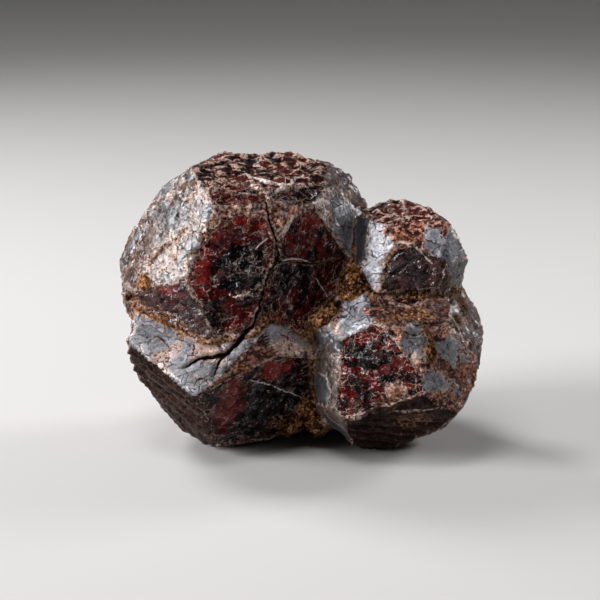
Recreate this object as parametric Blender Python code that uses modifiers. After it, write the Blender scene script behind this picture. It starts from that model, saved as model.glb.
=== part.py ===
"""Garnet cluster: five garnets grown into each other, with clay packed in the grooves between them.

Run with: blender --background --python part.py
Metres, +Z up. The front of the cluster looks along -Y and it rests on the flat crystal faces at z = 0.
Each garnet is a block of crystal cut back to its natural faces. A face is written the way a gem
cutter's chart writes it: its bearing round the crystal, its rise above level, and its reach from
the crystal's centre.
"""
import math
import random

import bmesh
import bpy
from mathutils import Vector
from mathutils.bvhtree import BVHTree

MM = 0.001
NAME = "garnet_cluster"

# Driving dimensions, in millimetres.
BLANK = 60.0            # edge of the block that each crystal is cut from
MERGE = 0.0001          # corners closer than this are one
CORNER_MERGE = 0.004    # corners of the finished solid closer than this are one
RIM = 0.7               # width of the worn skin left round a bare window
WINDOW_SLOPE = 0.35     # width of the step from the skin down to the window
WINDOW_DEPTH = 0.35     # how far a bare window lies below the skin
STEP_HEIGHT = 0.45      # how far a growth step stands proud
STEP_SUNK = 0.38        # how far its other faces lie inside the crystal
CLAY_SPACING = 2.4      # distance between clay lumps along a groove
CLAY_SMALL = 0.9        # radius of the smallest lump in a groove
CLAY_LARGE = 1.6        # radius of the largest
GROOVE_REACH = 0.5      # a hollow edge this close to two crystals' faces is a groove between them
CLAY_GRAIN = 0.6        # size of the facets that the clay is modelled with
CLAY_SHARE = 0.35       # share of those facets that is kept
CRACK_RADIUS = 0.32     # half the width of the open crack
CRACK_STEP = 1.2        # distance between the corners of the crack
CRACK_WANDER = 0.25     # how far the crack strays to either side
SEED = 7

LEVEL = 0.0
UNDER = -45.0


def hidden_side(reach, turn=0.0, leave_out=()):
    """The faces that close a garnet behind and below, a little uneven as natural ones are."""
    faces = {
        "rear": (180.0 + turn, 4.0, 1.03 * reach),
        "rear right": (138.0 + turn, -3.0, reach),
        "rear left": (-138.0 + turn, 2.0, reach),
        "rear upper": (180.0 + turn, 42.0, 0.98 * reach),
        "rear upper right": (145.0 + turn, 30.0, 1.04 * reach),
        "rear upper left": (-143.0 + turn, 32.0, 1.03 * reach),
        "rear under": (180.0 + turn, UNDER, reach),
        "rear under right": (132.0 + turn, -37.0, 1.02 * reach),
        "rear under left": (-130.0 + turn, -36.0, 1.01 * reach),
        "right under": (90.0 + turn, UNDER, reach),
        "left under": (-90.0 + turn, UNDER, reach),
        "front under": (turn, UNDER, reach),
    }
    return {name: face for name, face in faces.items() if name not in leave_out}


def twelve_faces(reach, turn):
    """A plain garnet: four faces sloping up, four upright and four sloping under."""
    faces = {}
    for quarter in range(4):
        bearing = turn + 90.0 * quarter
        faces[f"upper {quarter}"] = (bearing, 45.0, reach)
        faces[f"upright {quarter}"] = (bearing + 45.0, LEVEL, reach)
        faces[f"under {quarter}"] = (bearing, UNDER, reach)
        faces[f"corner {quarter}"] = (bearing, LEVEL, 1.12 * reach)
    return faces


# Each face: bearing (degrees to the right of straight ahead), rise (degrees above level), reach (mm).
GREAT = {
    "crown": (20, 71, 15.7),
    "left bevel": (7, 41, 17.6),
    "right bevel": (27, 50, 17.3),
    "front": (6, 7, 15.0),
    "wedge": (18, 18, 16.2),
    "front right": (34, -2, 14.0),
    "right cheek": (52, 11, 16.0),
    "right shoulder": (71, 36, 18.0),
    "left cheek": (-40, 21, 16.3),
    "far left": (-54, 25, 16.0),
    "left chin": (-32, -12, 16.9),
    "left flank": (-98, -14, 15.4),
    "left side": (-104, 22, 14.8),
    "left brow": (-103, 34, 14.6),
    "left crown": (-112, 56, 14.4),
    "rear crown": (-170, 62, 13.2),
    "right crown": (150, 58, 14.6),
    "right brow": (118, 38, 17.6),
    "right side": (105, 2, 16.0),
    "left foot": (-60, -45, 16.5),
    **hidden_side(15.6, turn=10.0, leave_out=("left under",)),
}
SHOULDER = {
    "crown": (-20, 73, 7.2),
    "left cheek": (-36, 13, 7.6),
    "far left": (-66, 11, 7.9),
    "front": (-3, 3, 7.3),
    "brow": (3, 31, 7.3),
    "right cheek": (52, 14, 8.1),
    "right chin": (53, -15, 7.8),
    "left crown": (-127, 31, 7.7),
    "rear crown": (-166, 60, 7.6),
    "right crown": (130, 60, 6.6),
    "right brow": (110, 42, 6.0),
    "right side": (98, 24, 6.5),
    "right flank": (95, -14, 6.9),
    **hidden_side(7.4),
}
RIGHT = {
    "left brow": (-54, 47, 12.6),
    "front": (-19, 8, 12.2),
    "left cheek": (-51, 5, 12.4),
    "left side": (-88, -5, 12.0),
    "chin": (20, -24, 10.2),
    "under chin": (0, -50, 10.5),
    "brow": (11, 26, 13.0),
    "right cheek": (33, 13, 12.6),
    "crown": (10, 66, 11.6),
    "right shoulder": (70, 32, 12.0),
    "right brow": (110, 30, 12.4),
    "right side": (100, 8, 11.4),
    "right flank": (92, -18, 9.0),
    "right hip": (86, -30, 9.3),
    "right foot": (76, -46, 9.9),
    "under foot": (50, -62, 10.4),
    "left foot": (-60, -40, 12.6),
    **hidden_side(12.4, leave_out=("front under", "right under")),
}
LEFT = {
    "brow": (-11, 41, 10.4),
    "front bevel": (18, 18, 11.5),
    "left cheek": (-56, -35, 9.6),
    "front": (34, -27, 9.7),
    "right brow": (48, 27, 12.6),
    "left side": (-98, 0, 11.4),
    "left flank": (-92, -24, 11.0),
    "left hip": (-95, -44, 11.3),
    "left foot": (-85, -60, 11.6),
    "under foot": (20, -78, 11.5),
    **hidden_side(12.4, leave_out=("front under",)),
}
REAR = twelve_faces(11.6, turn=20.0)

# Centre of each crystal (mm), and whether it reaches the ground.
CRYSTALS = {
    "great": ((-7.8, 1.0, 24.5), GREAT, False),
    "shoulder": ((15.2, -4.0, 26.5), SHOULDER, False),
    "right": ((13.7, -6.0, 12.0), RIGHT, True),
    "left": ((-10.8, -5.0, 12.0), LEFT, True),
    "rear": ((2.7, 6.0, 10.5), REAR, True),
}
# Faces whose skin has flaked off, which leaves a bare window a little lower than its rim.
WINDOWS = {
    "great": ("front", "front right", "left chin", "left bevel", "right bevel"),
    "shoulder": ("front",),
    "right": ("front",),
    "left": ("front",),
}
# Steps left by growth: the crystal, the bearing and rise that they are stacked along, the faces they
# stand on, and the height of each step's foot and top above the crystal's middle (mm).
STEPS = (
    ("right", (25, 62), ("chin", "under chin", "right cheek", "right flank", "right hip", "right foot"),
     ((-8.9, -7.9), (-6.6, -5.3), (-4.1, -3.3), (-1.6, -0.9))),
    ("left", (-11, 41), ("left cheek", "left flank", "left hip"), ((0.6, 1.8), (3.4, 4.4), (6.0, 7.2), (8.4, 9.2))),
    ("great", (-98, 70), ("right shoulder", "right brow", "rear"), ((1.9, 3.1), (5.9, 7.0))),
)
# Wads of clay that fill the deepest hollows: place and radius (mm).
WADS = (
    ((0.6, -5.6, 5.6), 3.1),
    ((-1.7, -7.6, 3.2), 1.9),
    ((2.6, -7.4, 3.4), 2.0),
    ((3.8, -11.0, 9.8), 1.4),
    ((2.8, -11.2, 19.2), 2.0),
    ((4.4, -11.0, 20.6), 1.5),
    ((7.2, -9.2, 23.6), 2.3),
    ((6.8, -10.0, 27.0), 1.4),
    ((7.0, -6.3, 24.2), 2.0),
    ((21.2, -9.2, 20.2), 1.9),
    ((17.2, -11.0, 19.9), 1.3),
)
# Old pits in the skin: the crystal, bearing and rise from its middle, and radius (mm).
PITS = (
    ("great", -58.0, -8.0, 1.3),
    ("right", 47.0, 38.0, 1.2),
    ("great", 165.0, 12.0, 1.6),
    ("rear", 120.0, 20.0, 1.3),
    ("left", -120.0, 10.0, 1.1),
)
# The open crack, seen from the front: bearing and rise of its turns from the middle of the great crystal.
CRACK = ((18.0, 32.0), (21.0, 12.0), (14.0, -4.0), (9.0, -22.0), (-2.0, -33.0), (-14.0, -40.0), (-30.0, -44.0))


def direction(bearing, rise):
    """The unit vector at a bearing from the front and a rise above level."""
    bearing = math.radians(bearing)
    rise = math.radians(rise)
    return Vector((math.sin(bearing) * math.cos(rise), -math.cos(bearing) * math.cos(rise), math.sin(rise)))


def collection(name):
    group = bpy.data.collections.new(name)
    bpy.context.scene.collection.children.link(group)
    return group


def add_object(name, mesh, group):
    """An object from a bmesh, in a collection."""
    data = bpy.data.meshes.new(name)
    mesh.to_mesh(data)
    mesh.free()
    thing = bpy.data.objects.new(name, data)
    group.objects.link(thing)
    return thing


def as_guide(thing):
    """Shows a construction shape as a wire frame that isn't part of the model."""
    thing.hide_render = True
    thing.display_type = "WIRE"
    return thing


def cut_to(mesh, normal, reach):
    """Cuts the block back to one flat face and closes it."""
    cut = bmesh.ops.bisect_plane(
        mesh,
        geom=mesh.verts[:] + mesh.edges[:] + mesh.faces[:],
        dist=MERGE * MM,
        plane_co=normal * reach * MM,
        plane_no=normal,
        clear_outer=True,
    )
    edges = [item for item in cut["geom_cut"] if isinstance(item, bmesh.types.BMEdge)]
    if edges:
        bmesh.ops.contextual_create(mesh, geom=edges)


def bare_window(mesh, normal):
    """Sinks the middle of the face that looks along normal, and leaves a rim round it."""
    mesh.faces.ensure_lookup_table()
    mesh.normal_update()
    face = max(mesh.faces, key=lambda candidate: candidate.normal.dot(normal))
    bmesh.ops.inset_individual(mesh, faces=[face], thickness=RIM * MM, depth=0.0)
    bmesh.ops.inset_individual(mesh, faces=[face], thickness=WINDOW_SLOPE * MM, depth=-WINDOW_DEPTH * MM)


def make_crystal(name, centre, faces, grounded, windows, group):
    """One garnet, cut from a block face by face."""
    mesh = bmesh.new()
    bmesh.ops.create_cube(mesh, size=BLANK * MM)
    for bearing, rise, reach in faces.values():
        cut_to(mesh, direction(bearing, rise), reach)
    if grounded:
        cut_to(mesh, Vector((0.0, 0.0, -1.0)), centre[2])
    for window in windows:
        bearing, rise, _ = faces[window]
        bare_window(mesh, direction(bearing, rise))
    bmesh.ops.translate(mesh, verts=mesh.verts, vec=Vector(centre) * MM)
    bmesh.ops.recalc_face_normals(mesh, faces=mesh.faces)
    return as_guide(add_object(f"crystal_{name}", mesh, group))


def make_step(crystal, axis, proud_faces, foot, top, group):
    """One growth step: a slice of the crystal that stands proud on some of its faces."""
    centre, faces, _ = CRYSTALS[crystal]
    slice_faces = {}
    for name, (bearing, rise, reach) in faces.items():
        growth = STEP_HEIGHT if name in proud_faces else -STEP_SUNK
        slice_faces[name] = (bearing, rise, reach + growth)
    bearing, rise = axis
    slice_faces["top of step"] = (bearing, rise, top)
    slice_faces["foot of step"] = (bearing + 180.0, -rise, -foot)
    slice_faces["ground"] = (0.0, -90.0, centre[2] - STEP_SUNK)
    return make_crystal(f"{crystal}_step_{foot}", centre, slice_faces, False, (), group)


def boolean(thing, operand, operation):
    modifier = thing.modifiers.new(operand.name, "BOOLEAN")
    modifier.operation = operation
    modifier.object = operand
    modifier.solver = "EXACT"


def evaluated_mesh(thing):
    """A new mesh of the object with its modifiers applied."""
    bpy.context.view_layer.update()
    return bpy.data.meshes.new_from_object(thing.evaluated_get(bpy.context.evaluated_depsgraph_get()))


def crystals_touched(place):
    """How many crystals have a face within GROOVE_REACH of a place."""
    count = 0
    for centre, faces, _ in CRYSTALS.values():
        offset = place / MM - Vector(centre)
        proud = max(direction(bearing, rise).dot(offset) - reach for bearing, rise, reach in faces.values())
        count += abs(proud) < GROOVE_REACH
    return count


def groove_points(data):
    """Places along the hollow edges, where one crystal meets another, about CLAY_SPACING apart."""
    mesh = bmesh.new()
    mesh.from_mesh(data)
    points = []
    for edge in mesh.edges:
        start, end = (vert.co for vert in edge.verts)
        if edge.calc_face_angle_signed() > 0.0 or crystals_touched((start + end) / 2.0) < 2:
            continue
        count = max(1, round(edge.calc_length() / (CLAY_SPACING * MM)))
        for step in range(count):
            place = start.lerp(end, (step + 0.5) / count)
            if all((place - other).length > 0.6 * CLAY_SPACING * MM for other in points):
                points.append(place)
    mesh.free()
    return points


def add_lump(mesh, place, radius, chance):
    """One lump: a ball a little flattened and pushed about, so that no two are alike."""
    ball = bmesh.ops.create_icosphere(mesh, subdivisions=2, radius=radius)["verts"]
    for vert in ball:
        vert.co *= chance.uniform(0.88, 1.08)
        vert.co += place


def make_clay(data, group):
    """All the clay in one shape: a row of lumps along each groove, and the wads, grown into one skin."""
    chance = random.Random(SEED)
    mesh = bmesh.new()
    for place in groove_points(data):
        radius = chance.uniform(CLAY_SMALL, CLAY_LARGE) * MM
        if place.z > 1.2 * radius:
            add_lump(mesh, place, radius, chance)
    for place, radius in WADS:
        add_lump(mesh, Vector(place) * MM, radius * MM, chance)
    clay = as_guide(add_object("clay", mesh, group))
    skin = clay.modifiers.new("one skin", "REMESH")
    skin.mode = "VOXEL"
    skin.voxel_size = CLAY_GRAIN * MM
    facets = clay.modifiers.new("fewer facets", "DECIMATE")
    facets.ratio = CLAY_SHARE
    return clay


def surface_finder(data):
    """A function that gives the place where a ray from a crystal's middle leaves the cluster."""
    tree = BVHTree.FromPolygons([vert.co for vert in data.vertices], [face.vertices for face in data.polygons])

    def find(crystal, bearing, rise):
        ray = direction(bearing, rise)
        outside = Vector(CRYSTALS[crystal][0]) * MM + ray * BLANK * MM
        hit, _, _, _ = tree.ray_cast(outside, -ray)
        return hit

    return find


def make_pits(find, group):
    chance = random.Random(SEED + 1)
    mesh = bmesh.new()
    for crystal, bearing, rise, radius in PITS:
        add_lump(mesh, find(crystal, bearing, rise), radius * MM, chance)
    return as_guide(add_object("pits", mesh, group))


def crack_route(find):
    """The crack's corners on the surface: its turns joined by short steps that stray a little."""
    chance = random.Random(SEED + 2)
    route = []
    for (bearing, rise), (next_bearing, next_rise) in zip(CRACK, CRACK[1:]):
        length = GREAT["front"][2] * math.radians(math.hypot(next_bearing - bearing, next_rise - rise))
        count = max(1, round(length / CRACK_STEP))
        for step in range(count):
            share = step / count
            place = find("great", bearing + (next_bearing - bearing) * share, rise + (next_rise - rise) * share)
            stray = Vector((chance.uniform(-1, 1), 0.0, chance.uniform(-1, 1))) * CRACK_WANDER * MM
            route.append(place + stray)
    return route


def make_crack(find, group):
    """A round-bottomed channel along the crack's route."""
    route = crack_route(find)
    curve = bpy.data.curves.new("crack", "CURVE")
    curve.dimensions = "3D"
    curve.bevel_depth = CRACK_RADIUS * MM
    curve.bevel_resolution = 1
    curve.use_fill_caps = True
    line = curve.splines.new("POLY")
    line.points.add(len(route) - 1)
    for point, place in zip(line.points, route):
        point.co = (*place, 1.0)
    line.points[0].radius = 0.4
    line.points[-1].radius = 0.4
    tube = bpy.data.objects.new("crack_tube", curve)
    group.objects.link(tube)
    mesh = bmesh.new()
    mesh.from_mesh(evaluated_mesh(tube))
    bmesh.ops.remove_doubles(mesh, verts=mesh.verts, dist=MERGE * MM)
    bpy.data.objects.remove(tube)
    return as_guide(add_object("crack", mesh, group))


def garnet_material():
    material = bpy.data.materials.new("garnet")
    material.use_nodes = True
    shader = material.node_tree.nodes["Principled BSDF"]
    shader.inputs["Base Color"].default_value = (0.16, 0.055, 0.05, 1.0)
    shader.inputs["Roughness"].default_value = 0.42
    shader.inputs["Metallic"].default_value = 0.0
    return material


def main():
    for thing in list(bpy.data.objects):
        bpy.data.objects.remove(thing, do_unlink=True)
    parts = collection(NAME)
    cutters = collection("cutters")

    crystals = [
        make_crystal(name, centre, faces, grounded, WINDOWS.get(name, ()), cutters)
        for name, (centre, faces, grounded) in CRYSTALS.items()
    ]
    steps = [
        make_step(crystal, axis, proud_faces, foot, top, cutters)
        for crystal, axis, proud_faces, heights in STEPS
        for foot, top in heights
    ]
    for other in crystals[1:] + steps:
        boolean(crystals[0], other, "UNION")
    grown = evaluated_mesh(crystals[0])
    grown.name = NAME

    cluster = bpy.data.objects.new(NAME, grown)
    parts.objects.link(cluster)
    find = surface_finder(grown)
    boolean(cluster, make_crack(find, cutters), "DIFFERENCE")
    boolean(cluster, make_pits(find, cutters), "DIFFERENCE")
    boolean(cluster, make_clay(grown, cutters), "UNION")
    weld = cluster.modifiers.new("join close corners", "WELD")
    weld.merge_threshold = CORNER_MERGE * MM
    grown.materials.clear()
    grown.materials.append(garnet_material())


main()
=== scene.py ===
"""The looks of a garnet cluster: one skin over five grown-together crystals, with clay in their grooves.

The skin is one closed surface. Its points lie on rays from a place inside the cluster, settle on the
crystals' rounded faces, and are then moved in and out for windows, steps, cracks, pits and grit.
Lengths are millimetres until the mesh is made. A face is written as its bearing (degrees to the right
of straight ahead), its rise (degrees above level) and its reach from the crystal's middle.
"""
import itertools
import math

import bpy
import numpy as np
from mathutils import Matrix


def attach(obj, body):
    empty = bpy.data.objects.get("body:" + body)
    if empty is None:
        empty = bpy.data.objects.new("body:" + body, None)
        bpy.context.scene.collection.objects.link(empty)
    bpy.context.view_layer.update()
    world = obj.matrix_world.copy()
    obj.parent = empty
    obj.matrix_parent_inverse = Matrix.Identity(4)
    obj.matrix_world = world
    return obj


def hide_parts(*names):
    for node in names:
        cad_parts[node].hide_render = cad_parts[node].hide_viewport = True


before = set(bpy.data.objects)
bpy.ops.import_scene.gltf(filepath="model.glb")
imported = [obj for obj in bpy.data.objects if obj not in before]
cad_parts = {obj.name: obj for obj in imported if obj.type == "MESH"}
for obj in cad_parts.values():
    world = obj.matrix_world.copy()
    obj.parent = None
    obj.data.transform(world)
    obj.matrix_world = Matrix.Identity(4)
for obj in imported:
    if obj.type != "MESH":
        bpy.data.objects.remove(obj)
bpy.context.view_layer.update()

MM = 0.001
GRID = 127      # squares along one side of the cube that the skin starts from
SETTLE_PASSES = 26
HEART = np.array((6.2, -4.0, 16.0))       # place that sees the whole skin
EGG = np.array((25.0, 19.4, 20.4))        # half sizes of the egg that spreads the points evenly
EGG_MIDDLE = np.array((0.0, 0.0, 20.2))
EDGE_WEAR = 0.06                          # softness of the crystals' edges
GROOVE_FILL = 1.0                         # width of the clay fillet in an ordinary groove
EYE = np.array((-0.14, -337.7, 103.5))    # where the camera stands
AIM = np.array((-0.14, -2.0, 19.8))       # what it looks at
FRONT_PLANE = 340.0                       # distance at which front-view millimetres are true
WALK_START = 2.5                          # how far outside the garnets the walk to the surface starts
WALK_PASSES, LAST_PULLS = 16, 3
WAD_FILLET = 1.8                          # width of the fillet round a wad of clay
SEEN_FROM = 0.05                          # least cosine at which the front view still sees a surface
FRONT_SPAN = (-21.5, 22.5)                # the hidden sides' marks start past these places on the front
TINY = 1e-9                               # keeps a zero length from dividing


# ---------------------------------------------------------------- the crystals

def hidden_side(reach, turn=0.0, leave_out=()):
    """The faces that close a garnet behind and below."""
    faces = {
        "rear": (180 + turn, 4, 1.03 * reach),
        "rear right": (138 + turn, -3, reach),
        "rear left": (-138 + turn, 2, reach),
        "rear upper": (180 + turn, 42, 0.98 * reach),
        "rear upper right": (145 + turn, 30, 1.04 * reach),
        "rear upper left": (-143 + turn, 32, 1.03 * reach),
        "rear under": (180 + turn, -45, reach),
        "rear under right": (132 + turn, -37, 1.02 * reach),
        "rear under left": (-130 + turn, -36, 1.01 * reach),
        "right under": (90 + turn, -45, reach),
        "left under": (-90 + turn, -45, reach),
        "front under": (turn, -45, reach),
    }
    return {name: face for name, face in faces.items() if name not in leave_out}


def twelve_faces(reach, turn):
    """A plain garnet: four faces sloping up, four upright, four sloping under, and its corners."""
    faces = {}
    for quarter in range(4):
        bearing = turn + 90 * quarter
        faces[f"upper {quarter}"] = (bearing, 45, reach)
        faces[f"upright {quarter}"] = (bearing + 45, 0, reach)
        faces[f"under {quarter}"] = (bearing, -45, reach)
        faces[f"corner {quarter}"] = (bearing, 0, 1.12 * reach)
    return faces


FACES = {
    "great": {
        "crown": (20, 71, 15.7), "left bevel": (7, 41, 17.6), "right bevel": (27, 50, 17.3),
        "front": (6, 7, 15.0), "wedge": (18, 18, 16.2), "front right": (34, -2, 14.0),
        "right cheek": (52, 11, 16.0), "right shoulder": (71, 36, 18.0), "left cheek": (-40, 21, 16.3),
        "far left": (-54, 25, 16.0), "left chin": (-32, -12, 16.9), "left flank": (-98, -14, 15.4),
        "left side": (-104, 22, 14.8), "left brow": (-103, 34, 14.6), "left crown": (-112, 56, 14.4),
        "rear crown": (-170, 62, 13.2), "right crown": (150, 58, 14.6), "right brow": (118, 38, 17.6),
        "right side": (105, 2, 16.0), "left foot": (-60, -45, 16.5),
        **hidden_side(15.6, turn=10, leave_out=("left under",)),
    },
    "shoulder": {
        "crown": (-20, 73, 7.2), "left cheek": (-36, 13, 7.6), "far left": (-66, 11, 7.9),
        "front": (-3, 3, 7.3), "brow": (3, 31, 7.3), "right cheek": (52, 14, 8.1),
        "right chin": (53, -15, 7.8), "left crown": (-127, 31, 7.7), "rear crown": (-166, 60, 7.6),
        "right crown": (130, 60, 6.6), "right brow": (110, 42, 6.0), "right side": (98, 24, 6.5),
        "right flank": (95, -14, 6.9), **hidden_side(7.4),
    },
    "right": {
        "left brow": (-54, 47, 12.6), "front": (-19, 4, 12.05), "left cheek": (-58, 5, 12.6),
        "left side": (-88, -5, 12.0), "chin": (-6, -26, 12.3), "under chin": (0, -50, 10.5),
        "brow": (11, 26, 13.0), "right cheek": (33, 13, 12.6), "crown": (10, 66, 11.6),
        "right shoulder": (70, 32, 12.0), "right brow": (110, 30, 12.4), "right side": (100, 8, 11.4),
        "right flank": (92, -18, 9.0), "right hip": (86, -30, 9.3), "right foot": (76, -46, 9.9),
        "under foot": (50, -62, 10.4), "left foot": (-60, -40, 12.6), "ground": (0, -90, 12.0),
        **hidden_side(12.4, leave_out=("front under", "right under")),
    },
    "left": {
        "brow": (-11, 41, 10.4), "front bevel": (16, 17, 12.15), "left cheek": (-56, -35, 9.6),
        "front": (34, -27, 9.7), "right brow": (48, 27, 12.6), "left side": (-98, 0, 11.4),
        "left flank": (-92, -24, 11.0), "left hip": (-95, -44, 11.3), "left foot": (-85, -60, 11.6),
        "under foot": (20, -78, 11.5), "ground": (0, -90, 12.0),
        **hidden_side(12.4, leave_out=("front under",)),
    },
    "rear": {**twelve_faces(11.6, 20), "ground": (0, -90, 10.5)},
}
MIDDLES = {
    "great": (-7.8, 1.0, 24.5),
    "shoulder": (15.2, -4.0, 26.5),
    "right": (13.7, -6.0, 12.0),
    "left": (-10.8, -5.0, 12.0),
    "rear": (2.7, 6.0, 10.5),
}
# Wads of clay in the deepest hollows: place and radius.
WADS = (
    ((0.6, -5.6, 5.6), 3.1), ((-1.7, -7.6, 3.2), 1.9), ((2.6, -7.4, 3.4), 2.0), ((3.8, -11.0, 9.8), 1.4),
    ((2.8, -11.2, 19.2), 2.0), ((4.4, -11.0, 20.6), 1.5), ((7.2, -9.2, 23.6), 2.3), ((6.8, -10.0, 27.0), 1.4),
    ((7.0, -6.3, 24.2), 2.0), ((21.2, -9.2, 20.2), 1.9), ((17.2, -11.0, 19.9), 1.3),
)
# Growth steps: crystal, the bearing and rise they are stacked along, the faces they stand on, and the
# height of each step's foot and top above the crystal's middle.
STEPS = (
    ("right", (25, 62), ("chin", "under chin", "right cheek", "right flank", "right hip", "right foot"),
     ((-8.9, -7.9), (-6.6, -5.3), (-4.1, -3.3), (-1.6, -0.9))),
    ("left", (-11, 41), ("left cheek", "left flank", "left hip"),
     ((0.6, 1.8), (3.4, 4.4), (6.0, 7.2), (8.4, 9.2))),
    ("great", (-98, 70), ("right shoulder", "right brow", "rear"), ((1.9, 3.1), (5.9, 7.0))),
)
# Old pits: crystal, bearing and rise from its middle, radius.
PITS = (
    ("great", -58, -8, 1.3), ("right", 47, 38, 1.2), ("great", 165, 12, 1.6), ("rear", 120, 20, 1.3),
    ("left", -120, 10, 1.1),
)


def facing(bearing, rise):
    """Unit vectors that look along a bearing from the front (-Y) and a rise above level."""
    bearing, rise = np.radians(bearing), np.radians(rise)
    return np.stack((np.sin(bearing) * np.cos(rise), -np.cos(bearing) * np.cos(rise), np.sin(rise)), axis=-1)


class Crystal:
    """One garnet: the names, directions and reaches of its faces, and its middle."""

    def __init__(self, name):
        table = np.array(list(FACES[name].values()), float)
        self.name = name
        self.face_names = list(FACES[name])
        self.normals = facing(table[:, 0], table[:, 1])
        self.reaches = table[:, 2]
        self.middle = np.array(MIDDLES[name])

    def heights(self, points):
        """Height of each point above the plane of each face."""
        return (points - self.middle) @ self.normals.T - self.reaches

    def height(self, points):
        """Height above the crystal with soft edges, and its slope: the log of the sum of the faces'
        exponentials, which follows the highest face and rounds the turn between two."""
        each = self.heights(points) / EDGE_WEAR
        top = each.max(axis=1, keepdims=True)
        weight = np.exp(each - top)
        total = weight.sum(axis=1, keepdims=True)
        return (top + np.log(total))[:, 0] * EDGE_WEAR, (weight / total) @ self.normals

    def way_out(self, rays):
        """How far from the heart each ray leaves the crystal, and 0 for a ray that misses it."""
        along = rays @ self.normals.T
        toward = -self.heights(HEART[None])
        with np.errstate(divide="ignore"):
            cross = toward / along
        leave = np.where(along > 0, cross, np.inf).min(axis=1)
        enter = np.where(along < 0, cross, -np.inf).max(axis=1)
        return np.where(enter < leave, leave, 0.0)


GARNETS = [Crystal(name) for name in FACES]
BY_NAME = {garnet.name: garnet for garnet in GARNETS}


# ---------------------------------------------------------------- noise

chance = np.random.default_rng(41)
SHUFFLE = chance.permutation(256)
SLOPES = chance.normal(size=(256, 3))
SLOPES /= np.linalg.norm(SLOPES, axis=1, keepdims=True)
CORNERS = np.array(list(itertools.product((0, 1), repeat=3)))


def noise(points, size, seed=0):
    """Smooth noise, about -1 to 1: random slopes at the corners of cells `size` wide, blended by a curve
    that is flat at both ends."""
    place = points / size + 31.7 * seed
    cell = np.floor(place).astype(int)
    inside = place - cell
    fade = inside ** 3 * (inside * (inside * 6 - 15) + 10)
    total = np.zeros(len(points))
    for corner in CORNERS:
        at = (cell + corner) & 255
        pick = SHUFFLE[(SHUFFLE[(SHUFFLE[at[:, 0]] + at[:, 1]) & 255] + at[:, 2]) & 255]
        share = np.where(corner, fade, 1 - fade).prod(axis=1)
        total += share * ((inside - corner) * SLOPES[pick]).sum(axis=1)
    return 1.7 * total


def rough(points, size, seed=0, layers=3):
    """Noise in layers, each half as wide and half as high as the last."""
    return sum(noise(points, size / 2 ** layer, seed + layer) / 2 ** layer for layer in range(layers))


def ramp(value, low, high):
    """0 below low, 1 above high, and an even S between."""
    t = np.clip((value - low) / (high - low), 0, 1)
    return t * t * (3 - 2 * t)


# ---------------------------------------------------------------- the bare form

def blend_low(height, slope, other, other_slope, width):
    """The lower of two heights, with a fillet of a given width where they are nearly equal."""
    share = np.clip(width - np.abs(other - height), 0, None) / width
    other_lower = other < height
    low = np.where(other_lower, other, height) - share ** 2 * width / 4
    toward = np.where(other_lower, 1 - share / 2, share / 2)[:, None]
    return low, slope * (1 - toward) + other_slope * toward


def form_height(points):
    """Height above the crystals and their clay, and its slope."""
    fill = GROOVE_FILL * np.clip(0.75 + 0.9 * noise(points, 4.0, 3), 0.25, 1.7)
    height, slope = GARNETS[0].height(points)
    for garnet in GARNETS[1:]:
        height, slope = blend_low(height, slope, *garnet.height(points), fill)
    lumpy = 0.45 * rough(points, 2.0, 5, 2) - 0.55
    for place, radius in WADS:
        offset = points - place
        far = np.linalg.norm(offset, axis=1)
        height, slope = blend_low(height, slope, far - radius - lumpy, offset / far[:, None], WAD_FILLET)
    return height, slope


def cube_grid(count):
    """Unit directions over the six sides of a cube, count squares to a side, and the squares' corners.
    A side's two parameters run evenly in angle; points shared by two sides are one."""
    side = np.tan(np.linspace(-1, 1, count + 1) * math.pi / 4)
    u, v = (part.ravel() for part in np.meshgrid(side, side, indexing="ij"))
    one = np.ones_like(u)
    sides = [(one, u, v), (-one, v, u), (v, one, u), (u, -one, v), (u, v, one), (v, u, -one)]
    points = np.concatenate([np.stack(part, axis=1) for part in sides])
    row = np.arange(count)
    first = (row[:, None] * (count + 1) + row).ravel()
    square = np.stack((first, first + count + 1, first + count + 2, first + 1), axis=1)
    squares = np.concatenate([square + index * len(u) for index in range(6)])
    _, keep, where = np.unique(np.round(points, 6), axis=0, return_index=True, return_inverse=True)
    directions = points[keep]
    return directions / np.linalg.norm(directions, axis=1, keepdims=True), where.ravel()[squares]


def neighbours_mean(values, links, count):
    """The mean of each point's neighbours along the grid's links, for one number or several a point."""
    columns = values.reshape(len(values), -1).T
    total = [np.bincount(links[:, 0], column[links[:, 1]], len(values)) for column in columns]
    return (np.stack(total, axis=1) / count[:, None]).reshape(values.shape)


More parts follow.
